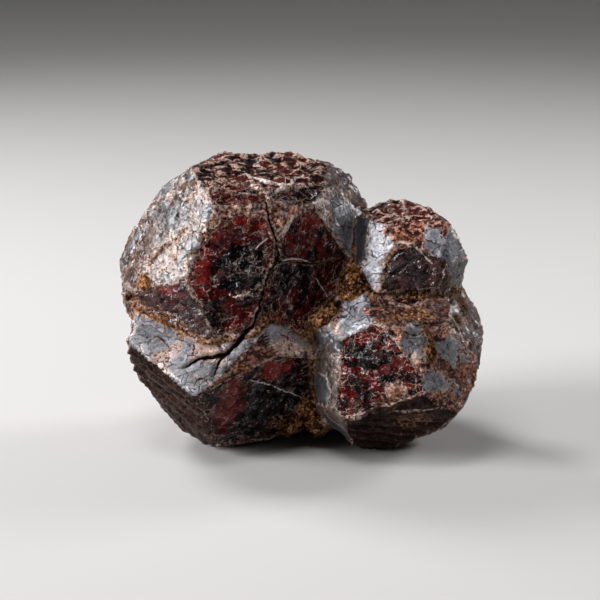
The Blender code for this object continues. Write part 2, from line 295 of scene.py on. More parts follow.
def settled_form():
    """The bare form: rays from the heart through evenly spread points of an egg, walked inwards to the
    surface, then evened out along it. Gives points, outward directions and squares."""
    directions, squares = cube_grid(GRID)
    rays = EGG_MIDDLE + directions * EGG - HEART
    rays /= np.linalg.norm(rays, axis=1, keepdims=True)
    reach = np.max([garnet.way_out(rays) for garnet in GARNETS], axis=0) + WALK_START
    for _ in range(WALK_PASSES):
        height, _ = form_height(HEART + rays * reach[:, None])
        reach -= 0.95 * height
    points = HEART + rays * reach[:, None]
    pairs = np.concatenate([squares[:, (a, b)] for a, b in ((0, 1), (1, 2), (2, 3), (3, 0))])
    pairs = np.unique(np.concatenate((pairs, pairs[:, ::-1])), axis=0)
    count = np.bincount(pairs[:, 0], minlength=len(points))
    for _ in range(SETTLE_PASSES):
        height, slope = form_height(points)
        steep = np.linalg.norm(slope, axis=1, keepdims=True)
        outward = slope / steep
        move = neighbours_mean(points, pairs, count) - points
        move -= outward * (move * outward).sum(axis=1, keepdims=True)
        points = points + 0.7 * move - outward * np.clip(height / steep[:, 0], -0.5, 0.5)[:, None]
    for _ in range(LAST_PULLS):
        height, slope = form_height(points)
        points = points - slope * (height / (slope ** 2).sum(axis=1))[:, None]
    _, slope = form_height(points)
    return points, slope / np.linalg.norm(slope, axis=1, keepdims=True), squares, pairs, count


# ---------------------------------------------------------------- finishes of the faces

# What each finish puts on a face, in the order of CHANNELS: skin (share of grey skin), bare (1 where the
# skin has come off inside the rim), glow (red depth), warm (share of rusty pink), mottle (flaked
# patches), ribs (growth lines).
CHANNELS = ("skin", "bare", "glow", "warm", "mottle", "ribs")
FINISHES = {
    "silver": (1.0, 0, 0.2, 0.10, 0.0, 0.15),
    "grey": (0.85, 0, 0.2, 0.25, 0.0, 0.35),
    "pink": (0.62, 0, 0.3, 0.65, 0.1, 0.1),
    "worn": (0.25, 0, 0.5, 0.60, 0.2, 0.2),
    "window": (0.45, 1, 0.30, 0.50, 0.0, 0.0),
    "red window": (0.30, 1, 0.80, 0.60, 0.0, 0.0),
    "lined window": (0.30, 1, 0.45, 0.60, 0.0, 0.8),
    "flaked": (0.30, 0, 0.5, 0.50, 1.0, 0.0),
    "ribbed": (0.15, 0, 0.4, 0.45, 0.3, 1.0),
    "clayed": (0.35, 0, 0.3, 0.50, 0.1, 0.1),
}
# Faces with a finish of their own: finish, rim width (mm), and the skin's tone, which also paints the face's
# light
# and shade: high on faces that catch the lamps as a sheen, low on faces turned down into shade.
FACE_FINISH = {
    "great": {
        "crown": ("flaked", 0.9, 1.0), "left bevel": ("red window", 0.30, 1.8),
        "right bevel": ("window", 0.35, 1.6), "front": ("red window", 0.34, 1.4),
        "wedge": ("pink", 0.5, 2.3), "front right": ("red window", 0.15, 0.8),
        "right cheek": ("grey", 0.5, 2.4), "right shoulder": ("pink", 0.6, 0.75),
        "left cheek": ("silver", 0.6, 1.15), "far left": ("pink", 0.6, 0.7),
        "left chin": ("lined window", 0.35, 0.9), "left brow": ("pink", 0.6, 0.65),
        "left crown": ("pink", 0.6, 0.7),
    },
    "shoulder": {
        "crown": ("flaked", 0.6, 1.0), "left cheek": ("silver", 0.4, 5.0),
        "far left": ("grey", 0.4, 0.7), "front": ("lined window", 0.12, 0.8),
        "brow": ("worn", 0.4, 2.5), "right cheek": ("grey", 0.4, 2.1),
        "right chin": ("grey", 0.4, 0.5),
    },
    "right": {
        "left brow": ("silver", 0.4, 3.2), "front": ("red window", 0.10, 0.9),
        "left cheek": ("grey", 0.3, 0.6), "left side": ("grey", 0.4, 0.5),
        "chin": ("ribbed", 0.4, 0.12), "under chin": ("ribbed", 0.4, 0.16),
        "brow": ("worn", 0.5, 2.1), "right cheek": ("clayed", 0.5, 1.8),
        "crown": ("clayed", 0.5, 0.9), "right shoulder": ("clayed", 0.5, 0.65),
        "right flank": ("ribbed", 0.5, 0.5),
    },
    "left": {
        "brow": ("silver", 0.5, 2.3), "front bevel": ("worn", 0.3, 0.9),
        "left cheek": ("ribbed", 0.4, 0.20), "front": ("window", 0.12, 0.7),
        "right brow": ("silver", 0.4, 3.6), "left flank": ("ribbed", 0.4, 0.25),
        "left hip": ("ribbed", 0.4, 0.35),
    },
    "rear": {},
}
OTHER_FINISHES = ("silver", "grey", "grey", "grey", "pink", "silver", "worn", "flaked", "window", "pink",
                  "ribbed")


def finish_table():
    """For each garnet, one row for each face: the finish's channels, rim width, skin tone and painted light (a
    chance tone on faces without a finish of their own), the lines' direction (a turn within the face) and a
    number of its own. The draws are made for every face."""
    pick = np.random.default_rng(12)
    tables = []
    for garnet in GARNETS:
        rows = []
        for name in garnet.face_names:
            by_chance = (OTHER_FINISHES[pick.integers(len(OTHER_FINISHES))], pick.uniform(0.7, 1.3),
                         pick.uniform(0.7, 1.2))
            finish, rim, tone_and_light = FACE_FINISH[garnet.name].get(name, by_chance)
            rows.append([*FINISHES[finish], rim, tone_and_light, pick.uniform(-0.6, 0.6), pick.uniform(0, 20)])
        tables.append(np.array(rows))
    return tables


# ---------------------------------------------------------------- places on the front

def front_place(points):
    """Where each point lies as seen from the front: millimetres right of and above the middle, true at
    FRONT_PLANE from the eye."""
    ahead = (AIM - EYE) / np.linalg.norm(AIM - EYE)
    up = np.cross((1.0, 0.0, 0.0), ahead)
    offset = points - EYE
    scale = FRONT_PLANE / (offset @ ahead)
    return np.stack((offset[:, 0] * scale, (offset @ up) * scale), axis=1)


def near_line(places, line):
    """Distance from each place to a line of straight stretches, below 0 to its right; how far along the
    line (0 to 1) the nearest spot lies; and how far the place lies past the line's ends."""
    line = np.array(line, float)
    lengths = np.linalg.norm(np.diff(line, axis=0), axis=1)
    starts = np.concatenate(((0,), np.cumsum(lengths)))
    best = np.full(len(places), np.inf)
    side, share, past = np.ones(len(places)), np.zeros(len(places)), np.zeros(len(places))
    last = len(lengths) - 1
    for index, (start, end, length) in enumerate(zip(line, line[1:], lengths)):
        ahead = (end - start) / length
        offset = places - start
        free = offset @ ahead
        along = np.clip(free, 0, length)
        across = ahead[0] * offset[:, 1] - ahead[1] * offset[:, 0]
        far = np.linalg.norm(offset - along[:, None] * ahead, axis=1)
        over = np.maximum(-free if index == 0 else 0, free - length if index == last else 0)
        closer = far < best
        best = np.where(closer, far, best)
        side = np.where(closer, np.where(across < 0, -1.0, 1.0), side)
        share = np.where(closer, (starts[index] + along) / starts[-1], share)
        past = np.where(closer, np.maximum(over, 0), past)
    return best * side, share, past


# Open cracks on the front: half width at the start, middle and end, depth, and the turns.
OPEN_CRACKS = (
    (0.10, 0.13, 0.20, 0.35, ((-4.6, 13.6), (-4.4, 12.3), (-4.1, 10.6), (-3.5, 8.9), (-3.0, 7.5), (-2.7, 6.1),
                              (-3.1, 4.9))),
    (0.14, 0.17, 0.20, 0.50, ((-3.1, 4.9), (-4.1, 3.8), (-4.5, 2.5), (-4.9, 1.0), (-5.3, -0.4), (-5.6, -2.0),
                              (-6.1, -3.1))),
    (0.20, 0.32, 0.24, 0.80, ((-6.1, -3.1), (-7.1, -4.2), (-7.9, -5.2), (-8.6, -5.9), (-9.4, -6.7),
                              (-9.9, -7.2))),
    (0.26, 0.22, 0.07, 0.60, ((-9.9, -7.2), (-11.6, -7.6), (-12.9, -7.7), (-14.1, -8.2), (-15.2, -8.8),
                              (-16.2, -9.3))),
    (0.20, 0.16, 0.06, 0.50, ((-10.2, -7.3), (-10.8, -8.0), (-11.3, -9.1), (-11.8, -10.4))),
    (0.06, 0.12, 0.05, 0.25, ((-3.0, 4.9), (-1.6, 5.2), (0.0, 5.0), (1.9, 4.8), (3.6, 5.3), (5.4, 5.7))),
    (0.03, 0.08, 0.03, 0.20, ((-20.4, -5.4), (-19.3, -5.0), (-18.6, -5.6), (-17.5, -6.8))),
    (0.03, 0.07, 0.03, 0.20, ((-14.5, -12.2), (-14.1, -11.0), (-13.0, -10.5), (-12.4, -11.6))),
    (0.04, 0.08, 0.03, 0.20, ((13.6, -3.9), (14.6, -4.6), (15.9, -4.9), (17.0, -4.1))),
)
# Cracks stained with rust.
RUST_CRACKS = (
    (0.12, 0.20, 0.26, 0.30, ((-15.9, 9.4), (-17.3, 8.0), (-18.8, 7.1), (-19.9, 5.8), (-20.9, 4.8))),
    (0.05, 0.08, 0.04, 0.10, ((-15.2, 10.0), (-15.6, 9.1))),
    (0.04, 0.07, 0.04, 0.10, ((-16.8, 6.6), (-17.2, 5.2))),
    (0.04, 0.10, 0.05, 0.10, ((-18.3, 4.3), (-19.4, 3.6))),
    (0.04, 0.08, 0.03, 0.12, ((-14.6, 6.6), (-15.2, 5.4), (-15.8, 4.4))),
    (0.04, 0.07, 0.04, 0.12, ((-12.6, 9.1), (-13.5, 8.3))),
    (0.04, 0.08, 0.04, 0.12, ((-14.2, 14.5), (-15.5, 13.5))),
    (0.05, 0.08, 0.05, 0.12, ((-1.0, -3.9), (-0.2, -4.8), (0.3, -4.9), (1.0, -4.4))),
    (0.03, 0.06, 0.03, 0.10, ((-9.2, -9.5), (-8.0, -8.9), (-6.9, -9.6))),
    (0.03, 0.06, 0.03, 0.10, ((12.8, 7.2), (11.6, 5.3), (10.8, 4.6))),
)
# Pale ridges and healed cracks, a little proud.
PALE_LINES = (
    (0.08, 0.10, 0.05, -0.10, ((-4.4, 8.3), (-5.4, 7.7), (-6.2, 6.8))),
    (0.06, 0.12, 0.05, -0.08, ((-6.6, 1.2), (-7.8, 0.6), (-9.2, 0.3))),
    (0.04, 0.08, 0.05, -0.08, ((-7.2, -10.9), (-4.2, -11.6), (-1.5, -12.6), (0.5, -13.5))),
    (0.08, 0.40, 0.14, -0.18, ((-0.7, 11.8), (-1.3, 10.6), (-2.0, 9.5), (-2.7, 8.4))),
    (0.12, 0.14, 0.08, -0.10, ((-7.4, 17.0), (-4.4, 15.9), (-2.0, 15.6))),
    (0.10, 0.18, 0.10, -0.12, ((0.5, 17.0), (-1.4, 15.8), (-3.8, 14.4), (-4.6, 13.7))),
    (0.08, 0.14, 0.10, -0.12, ((12.3, 6.9), (13.7, 7.9), (15.4, 7.6), (16.9, 6.2), (17.9, 5.0))),
    (0.05, 0.10, 0.05, -0.10, ((-3.4, 4.2), (-2.6, 5.2), (-1.0, 5.6), (1.4, 5.2))),
    (0.05, 0.10, 0.05, -0.08, ((2.2, 3.0), (3.0, 1.6), (3.9, 0.2))),
)
# The kinds of line: mark, those laid on the front, and for the hidden sides how many, the seed, and their
# half width, depth and half length (mm).
LINE_KINDS = (
    ("crack", OPEN_CRACKS, 9, 30, 0.22, 0.55, 8.0),
    ("rust", RUST_CRACKS, 10, 36, 0.10, 0.12, 4.0),
    ("pale", PALE_LINES, 14, 38, 0.12, -0.08, 5.0),
)
# Bare ovals on the front, where the skin has come off across an edge: centre, half widths, turn.
BARE_OVALS = (
    ((-8.5, 14.2), (3.9, 1.30), -3), ((-0.3, 14.2), (3.4, 1.05), 4), ((14.9, 3.3), (3.6, 4.0), -8),
    ((-12.8, -2.4), (2.5, 0.8), -60),
)
# Ovals on the front where the skin has stayed: centre, half widths, turn.
KEPT_OVALS = (
    ((-8.4, 12.1), (4.8, 0.75), -2), ((-11.9, 10.9), (1.3, 1.2), 50), ((-0.6, 12.3), (3.2, 0.60), 8),
    ((13.2, -12.4), (1.5, 1.2), 10), ((-3.7, 10.2), (0.9, 2.0), 10),
    ((6.1, 3.0), (3.6, 0.8), 56),
)
# Patches on the front, by channel: change at the middle, centre, half widths, turn (degrees).
PATCHES = {
    "glow": (
        (1.4, (-13.3, 4.2), (1.2, 3.0), -10), (0.5, (-8.0, 9.2), (4.4, 1.8), 5),
        (0.6, (-5.2, 9.6), (1.4, 2.2), 0), (-0.9, (-8.2, 4.4), (3.3, 3.6), 0),
        (0.6, (1.2, 11.2), (2.2, 2.2), 0), (0.3, (4.4, 5.0), (2.0, 3.2), 0),
        (-0.6, (-0.5, 3.4), (2.8, 2.4), 0), (1.5, (-18.2, 1.0), (1.5, 1.6), 0),
        (-0.5, (-13.6, -1.6), (3.0, 1.2), -35), (1.7, (-3.2, -9.5), (3.0, 1.2), 18),
        (1.4, (-9.4, -14.0), (1.8, 4.0), -20), (-0.6, (-3.4, -14.0), (4.4, 3.4), 0),
        (0.5, (8.9, -4.5), (2.3, 1.3), 25), (0.3, (6.6, -8.6), (1.3, 1.0), 0),
        (0.2, (5.6, -11.4), (0.9, 2.0), 0), (0.2, (9.6, -10.6), (1.3, 1.6), 0),
        (-0.9, (8.6, -7.4), (2.4, 1.4), 0), (0.4, (-9.0, 15.3), (2.6, 0.8), 0),
        (0.5, (13.2, 1.0), (2.0, 0.6), 10), (0.3, (13.6, 18.0), (3.0, 1.0), 0),
    ),
    "skin": (
        (0.9, (15.7, -5.6), (1.9, 2.6), 15), (0.6, (20.6, -6.8), (1.8, 2.8), 20),
        (0.6, (18.2, -10.8), (1.6, 1.5), 0), (1.0, (21.1, -1.1), (0.6, 1.3), -15),
        (0.7, (18.0, 7.4), (1.5, 2.2), 20), (0.9, (21.0, 6.8), (1.3, 3.0), -15),
        (-0.6, (13.6, 9.2), (3.2, 1.3), -20), (-0.7, (18.6, 2.6), (2.0, 2.2), 0),
        (-0.6, (10.6, -2.0), (2.4, 1.0), -20), (0.6, (-3.0, -2.6), (2.6, 1.5), 30),
    ),
    "clay": (
        (0.75, (17.8, -6.4), (0.9, 3.4), 8), (0.6, (15.6, -1.9), (3.0, 1.1), -5),
        (0.7, (-21.2, 2.3), (1.2, 2.2), 10), (0.5, (-1.4, -16.4), (4.4, 1.6), 20),
        (-0.6, (-2.2, -4.5), (2.6, 1.5), 18), (0.4, (1.9, -14.6), (1.6, 2.6), 0),
        (0.5, (3.6, -2.0), (2.6, 1.2), 35), (0.5, (22.0, -3.0), (1.4, 2.4), 0),
        (0.4, (-17.6, -2.0), (2.6, 0.5), -38), (0.4, (13.0, -13.0), (2.2, 1.4), 10),
        (0.4, (15.4, -16.4), (3.6, 1.2), 12), (0.35, (-12.9, 15.4), (2.4, 0.5), 28),
        (0.4, (6.2, 14.4), (1.2, 1.8), -30),
    ),
    "mottle": (
        (0.8, (6.1, 3.0), (3.6, 1.1), 56), (0.5, (-2.0, -0.6), (2.4, 1.2), 20),
    ),
    "sheet": (
        (0.7, (7.1, -2.5), (2.9, 1.9), 30), (1.3, (9.8, 5.8), (2.4, 4.8), 5),
        (0.6, (-13.0, 11.6), (1.2, 2.0), -20), (0.8, (-15.0, 6.3), (3.2, 1.1), 43),
        (-0.5, (-18.4, 6.6), (1.6, 3.4), -40), (0.5, (-17.2, 14.4), (2.2, 3.4), -35),
        (0.5, (-18.4, -5.6), (3.0, 1.8), -30), (0.6, (-13.6, -9.2), (2.6, 1.6), -20),
        (0.6, (-7.6, -4.6), (3.0, 1.8), 35), (0.6, (15.8, -5.4), (1.9, 2.6), 15),
        (0.6, (19.4, 8.4), (1.8, 3.0), 20), (0.6, (21.4, 5.8), (1.2, 2.8), -15),
        (0.6, (5.6, 12.0), (1.6, 3.4), 0), (0.5, (-1.8, -4.6), (2.4, 1.8), 20),
        (-0.5, (4.0, -9.0), (1.2, 2.6), 0),
    ),
    "warm": (
        (0.6, (-12.9, 9.2), (1.2, 3.6), -15), (0.5, (-8.0, 12.4), (4.4, 0.9), 5),
        (-0.5, (-18.6, 10.0), (3.4, 5.4), -20), (0.7, (-7.0, -9.4), (5.4, 1.2), 28),
        (0.6, (13.6, 8.8), (3.6, 1.6), -15), (0.5, (18.6, 3.4), (1.6, 2.8), -10),
        (0.5, (12.0, -2.4), (3.0, 1.4), -10), (-0.5, (-13.6, -7.6), (5.6, 2.2), -20),
    ),
}


def oval_radius(places, centre, half, turn):
    """0 at an oval's middle and 1 on its border."""
    turn = math.radians(turn)
    x, y = (places - centre).T
    along = (x * math.cos(turn) + y * math.sin(turn)) / half[0]
    across = (y * math.cos(turn) - x * math.sin(turn)) / half[1]
    return np.sqrt(along ** 2 + across ** 2)


def patch(places, centre, half, turn):
    """A soft oval: 1 at its middle, falling as a bell to about a third at its border."""
    return np.exp(-oval_radius(places, centre, half, turn) ** 3)


def oval(places, centre, half, turn):
    """Millimetres inside an oval's border, below 0 outside."""
    return (1 - oval_radius(places, centre, half, turn)) * min(half)


# ---------------------------------------------------------------- marks and relief

def level_and_steep(normals):
    """Two directions along each surface: the level one, and the one square to it."""
    level = np.cross((0.0, 0.0, 1.0), normals)
    level /= np.linalg.norm(level, axis=-1, keepdims=True) + TINY
    return level, np.cross(normals, level)


def groove(far, wide, depth):
    """Depth cut at a distance from a line's middle: all of it near the middle, easing to nothing 0.16 mm
    past the border."""
    return depth * (1 - ramp(far, 0.3 * wide, np.clip(wide, 0, None) + 0.16))


def line_marks(places, seen, lines):
    """For the line nearest to each place: the distance to its middle, below 0 on one side, and its half
    width there, below 0 away from the line; and the depth cut there."""
    middle = np.full(len(places), 3.0)
    half = np.full(len(places), -2.0)
    cut = np.zeros(len(places))
    for first, centre, last, depth, turns in lines:
        signed, share, past = near_line(places, turns)
        far = np.abs(signed)
        wide = np.interp(share, (0, 0.5, 1), (first, centre, last)) - past
        nearer = seen & (far < 1.2) & (far - wide < np.abs(middle) - half)
        middle = np.where(nearer, signed, middle)
        half = np.where(nearer, wide, half)
        deep = groove(far, wide, depth) * (wide > -0.1) * seen
        cut = np.where(np.abs(deep) > np.abs(cut), deep, cut)
    return middle, half, cut


def add_hidden_lines(line, points, outward, hidden, count, seed, wide, depth, length):
    """Adds `count` cracks to the sides that the front view doesn't show. Each lies where a wavering plane
    through a chance spot meets the skin, and narrows from its middle to its two ends."""
    pick = np.random.default_rng(seed)
    middle, half, cut = line
    directions = (points - HEART) / np.linalg.norm(points - HEART, axis=1, keepdims=True)
    waver = 0.35 * rough(points, 3.4, seed, 3)
    for _ in range(count):
        spot = np.argmax(directions @ facing(pick.uniform(70, 290), pick.uniform(-25, 75)))
        turn, own_length = pick.uniform(0, math.pi), length * pick.uniform(0.6, 1.3)
        level, steep = level_and_steep(outward[spot])
        ahead = level * math.cos(turn) + steep * math.sin(turn)
        offset = points - points[spot]
        run = np.abs(offset @ ahead)
        across = np.cross(outward[spot], ahead)
        signed = (offset @ across + waver) / np.sqrt(np.clip(1 - (outward @ across) ** 2, 0.1, None))
        wide_here = wide * (1 - (run / own_length) ** 2)
        wide_here = np.where(hidden & (np.linalg.norm(offset, axis=1) < 1.3 * own_length), wide_here, -2.0)
        nearer = (np.abs(signed) < 1.2) & (np.abs(signed) - wide_here < np.abs(middle) - half)
        middle = np.where(nearer, signed, middle)
        half = np.where(nearer, wide_here, half)
        deep = groove(np.abs(signed), wide_here, depth)
        cut = np.where(nearer & (wide_here > 0) & (np.abs(deep) > np.abs(cut)), deep, cut)
    return middle, half, cut


def growth_steps(garnet, points, face):
    """How much of a growth step each point of a garnet has, 0 to 1: a soft band from the height of the
    step's foot to that of its top, on the faces that carry steps."""
    step = np.zeros(len(points))
    soft = 0.12
    for crystal, axis, proud, stack in STEPS:
        if crystal != garnet.name:
            continue
        carries = np.isin(face, [garnet.face_names.index(name) for name in proud])
        up = (points - garnet.middle) @ facing(*axis) + 0.25 * noise(points, 2.0, 8)
        for foot, top in stack:
            band = ramp(up, foot - soft, foot + soft) * (1 - ramp(up, top - soft, top + soft))
            step = np.maximum(step, band * carries)
    return step


def face_facts(points):
    """What its face gives each point. A point belongs to the garnet that it stands out of least, and there
    to the highest face. Gives the face's row of the finish table, the distance to the face's border, the
    place along and across its growth lines, its growth step, and the least and second least of its
    heights above the garnets."""
    tables = finish_table()
    heights = [garnet.heights(points) for garnet in GARNETS]
    tops = np.stack([height.max(axis=1) for height in heights], axis=1)
    owner = tops.argmin(axis=1)
    row = np.zeros((len(points), tables[0].shape[1]))
    edge = np.zeros(len(points))
    lines = np.zeros((len(points), 2))
    step = np.zeros(len(points))
    for index, garnet in enumerate(GARNETS):
        mine = np.flatnonzero(owner == index)
        own = heights[index][mine]
        face = own.argmax(axis=1)
        row[mine] = tables[index][face]
        gap = own.max(axis=1, keepdims=True) - own
        cosine = (garnet.normals @ garnet.normals.T)[face]
        gap /= np.sqrt(np.clip(1 - cosine ** 2, 0.04, None))
        gap[np.arange(len(mine)), face] = np.inf
        edge[mine] = gap.min(axis=1)
        level, steep = level_and_steep(garnet.normals[face])
        turn = row[mine, -2] + 0.5
        offset = points[mine] - garnet.middle
        x, y = (offset * level).sum(axis=1), (offset * steep).sum(axis=1)
        along, across = x * np.cos(turn) + y * np.sin(turn), y * np.cos(turn) - x * np.sin(turn)
        lines[mine] = np.stack((along, across), axis=1)
        step[mine] = growth_steps(garnet, points[mine], face)
    thickness, next_top = np.sort(tops, axis=1)[:, :2].T
    return row, edge, lines, step, thickness, next_top


# Heights and depths of the fine relief (mm).
WINDOW_SUNK, HACKLES = 0.34, 0.20
SWELL, LEATHER, GRIT, DENTS = 0.07, 0.07, 0.11, 0.10
EDGE_WORN, EDGE_CHIPPED, EDGE_REACH = 0.03, 0.42, 0.5
SHEET_PROUD, FLAKE_STEP, RIB_HEIGHT, STEP_PROUD = 0.13, 0.15, 0.14, 0.42
CLAY_LUMPS, CLAY_PROUD = 0.16, 0.10
PIT_DEPTH = 0.7                           # share of a pit's radius


def add_finish_relief(relief, points, marks, edge, lines, step):
    """Adds each finish's relief: windows sunk and hackled (noise folded into ridges); leathery skin with
    dents, and with grit where it is worn; chipped edges (a bell over the distance to the edge); proud
    sheets; flakes in steps; growth lines as a saw; growth steps; lumpy clay."""
    is_bare = ramp(marks["bare"], -0.12, 0.18)
    is_clay = ramp(marks["clay"], 0.0, 0.25)
    is_skin = (1 - is_bare) * (1 - is_clay)
    hackle = sum((0.5 - np.abs(noise(points, size, 44 + size))) * size for size in (2.1, 1.1, 0.6))
    relief += is_bare * (1 - is_clay) * (HACKLES * hackle - WINDOW_SUNK)
    worn = np.clip(marks["warm"] + 0.6 * marks["mottle"] + 0.3 * (1 - marks["skin"]), 0, 1.2)
    leather = 0.4 - np.abs(noise(points, 0.85, 48))
    grit = GRIT * worn * rough(points, 1.0, 50, 2)
    relief += is_skin * (SWELL * rough(points, 3.0, 47, 3) + LEATHER * leather + grit)
    relief -= is_skin * DENTS * ramp(rough(points, 2.2, 53, 3), 0.12, 0.2)
    chips = ramp(rough(points, 1.4, 56, 3), -0.05, 0.4)
    relief -= (1 - is_clay) * (EDGE_WORN + EDGE_CHIPPED * chips) * np.exp(-(edge / EDGE_REACH) ** 2)
    relief += is_skin * SHEET_PROUD * ramp(marks["sheet"], -0.03, 0.05)
    flakes = noise(points, 1.5, 60)
    terraces = ramp(flakes, -0.25, -0.1) + ramp(flakes, 0.12, 0.25) - 1
    relief += is_skin * marks["mottle"] * FLAKE_STEP * terraces
    saw = (lines[:, 1] / 0.9 + 0.5 * noise(points, 5.0, 63)) % 1.0
    relief += (1 - is_clay) * marks["ribs"] * RIB_HEIGHT * (saw - 0.5)
    relief += step * (1 - is_clay) * STEP_PROUD
    relief += is_clay * (CLAY_LUMPS * rough(points, 1.1, 66, 2) + CLAY_PROUD)


def add_pits(relief, points, marks):
    """Sinks the old pits, each a bowl where a ray from its garnet's middle comes out, and puts clay in."""
    for crystal, bearing, rise, radius in PITS:
        garnet = BY_NAME[crystal]
        ray = facing(bearing, rise)
        reach = (garnet.reaches / np.clip(garnet.normals @ ray, 1e-6, None)).min()
        far = np.linalg.norm(points - garnet.middle - ray * reach, axis=1)
        far += 0.2 * radius * noise(points, 1.2, 70)
        relief -= PIT_DEPTH * radius * (1 - ramp(far, 0.25 * radius, radius))
        marks["clay"] = np.maximum(marks["clay"], 0.5 - 0.6 * far / radius)


def marks_and_relief(points, outward):
    """What lies where on the skin, as one number a point for each mark, and how far each point moves out."""
    row, edge, lines, step, thickness, next_top = face_facts(points)
    marks = {channel: row[:, index].copy() for index, channel in enumerate(CHANNELS)}
    rim, marks["tone_and_light"], _, own_number = row[:, len(CHANNELS):].T

    places = front_place(points)
    toward = EYE - points
    seen = (outward * toward).sum(axis=1) / np.linalg.norm(toward, axis=1) > SEEN_FROM
    hidden = ~seen | (places[:, 0] < FRONT_SPAN[0]) | (places[:, 0] > FRONT_SPAN[1])
    wander, zigzag = (
        np.stack([rough(points, size, seed, 2) for seed in seeds], axis=1)
        for size, seeds in ((1.6, (20, 23)), (0.8, (26, 28)))
    )
    marks["clay"] = np.maximum(1.2 * thickness + 0.22 - 0.40 * next_top, -0.40)
    marks["sheet"] = rough(points, 4.4, 80, 3)
    ragged = places + 0.55 * wander
    for channel, patches in PATCHES.items():
        for amount, *shape in patches:
            marks[channel] = marks[channel] + amount * seen * patch(ragged, *shape)

    relief = np.zeros(len(points))
    strayed = places + 0.08 * wander + 0.12 * zigzag
    for name, on_front, *on_sides in LINE_KINDS:
        drawn = line_marks(strayed, seen, on_front)
        marks[name] = np.stack(add_hidden_lines(drawn, points, outward, hidden, *on_sides), axis=1)
        relief -= marks[name][:, 2]

    uneven = rough(points, 2.4, 40, 3)
    inside = np.minimum(edge - rim, 0.9 * (next_top - 0.3)) + np.where(hidden, 0.8, 0.28) * uneven
    bare = np.where(marks["bare"] > 0.5, inside, -2.0)
    waved = places + 0.25 * wander
    for shape in BARE_OVALS:
        bare = np.where(seen, np.maximum(bare, oval(waved, *shape)), bare)
    for shape in KEPT_OVALS:
        bare = np.where(seen, np.minimum(bare, -oval(waved, *shape)), bare)
    marks["bare"] = np.clip(bare, -2.0, 3.0)
    marks["edge"] = np.clip(edge, 0, 4)

    add_finish_relief(relief, points, marks, edge, lines, step)
    add_pits(relief, points, marks)
    marks["lines"] = np.concatenate((lines, own_number[:, None]), axis=1)
    return marks, relief


def make_skin():
    """The finished skin: the bare form moved along its outward directions by the relief. The mark `proud`
    says how far each point stands out of its surroundings."""
    points, outward, squares, pairs, count = settled_form()
    marks, relief = marks_and_relief(points, outward)
    around = relief
    for _ in range(5):
        around = neighbours_mean(around, pairs, count)
    marks["proud"] = np.clip((relief - around) / 0.10, -1, 1)
    points = points + outward * relief[:, None]
    points[:, 2] = np.maximum(points[:, 2], 0.0)

    mesh = bpy.data.meshes.new("garnet_skin")
    mesh.vertices.add(len(points))
    mesh.vertices.foreach_set("co", (points * MM).ravel())
    mesh.loops.add(squares.size)
    mesh.loops.foreach_set("vertex_index", squares.ravel())
    mesh.polygons.add(len(squares))
    mesh.polygons.foreach_set("loop_start", np.arange(0, squares.size, 4))
    mesh.update(calc_edges=True)
    mesh.validate()
    mesh.shade_smooth()
    slot = np.full(len(squares), WEATHERED, np.int32)
    share = {name: marks[name][squares].mean(axis=1) for name in ("ribs", "bare", "mottle", "clay")}
    slot[share["ribs"] > 0.6] = RIBBED
    slot[(share["bare"] > 0) | (share["mottle"] > 0.6)] = BARE
    slot[share["clay"] > 0.12] = CLAY
    mesh.polygons.foreach_set("material_index", slot)
    for name, values in marks.items():
        vector = values.ndim == 2
        attribute = mesh.attributes.new(name, "FLOAT_VECTOR" if vector else "FLOAT", "POINT")
        attribute.data.foreach_set("vector" if vector else "value", values.astype(np.float32).ravel())
    skin = bpy.data.objects.new("garnet_skin", mesh)
    bpy.context.scene.collection.objects.link(skin)
    return skin


# ---------------------------------------------------------------- materials

# The skin's material slots and how strongly each reflects: weathered skin, bare glassy windows and
# flaked faces, clay, and the faces with growth lines.
SLOTS = (("weathered_garnet", 0.5), ("bare_garnet", 0.26), ("clay", 0.10), ("ribbed_garnet", 0.15))
WEATHERED, BARE, CLAY, RIBBED = range(len(SLOTS))
GARNET_IOR = 1.79

# Colours of the rusty pink: ground, stain, crests (partly a painted highlight), gaps between chips, and pits
# (partly painted shade).
PINK_DEEP, PINK, PINK_STAIN = (0.040, 0.008, 0.006), (0.200, 0.078, 0.048), (0.260, 0.115, 0.045)
PINK_CREST_HIGHLIGHT, PINK_WARM_CREST_HIGHLIGHT = (0.46, 0.29, 0.245), (0.46, 0.26, 0.175)
CHIP_GAP, PINK_PIT_SHADE = (0.012, 0.003, 0.003), (0.010, 0.003, 0.003)
# Grey skin: rosy ground, bluish sheets, crests (partly a painted highlight) and pits (partly painted shade),
# the sheets' pale borders, and crackle.
GREY_GROUND, GREY_SHEET = (0.160, 0.104, 0.086), (0.074, 0.075, 0.086)
GREY_CREST_HIGHLIGHT, GREY_PIT_SHADE = (0.42, 0.33, 0.30), (0.016, 0.010, 0.009)
SHEET_BORDER, CRACKLE = (0.44, 0.32, 0.27), (0.022, 0.008, 0.006)
# Flaked patches: scales, their crests (partly a painted highlight), and the net between them.
SCALE_BLACK, SCALE_RED, SCALE_CREST_HIGHLIGHT = (0.005, 0.0025, 0.0025), (0.060, 0.006, 0.005), (0.20, 0.12, 0.10)
NET_DARK, NET_PALE = (0.060, 0.014, 0.010), (0.52, 0.35, 0.275)
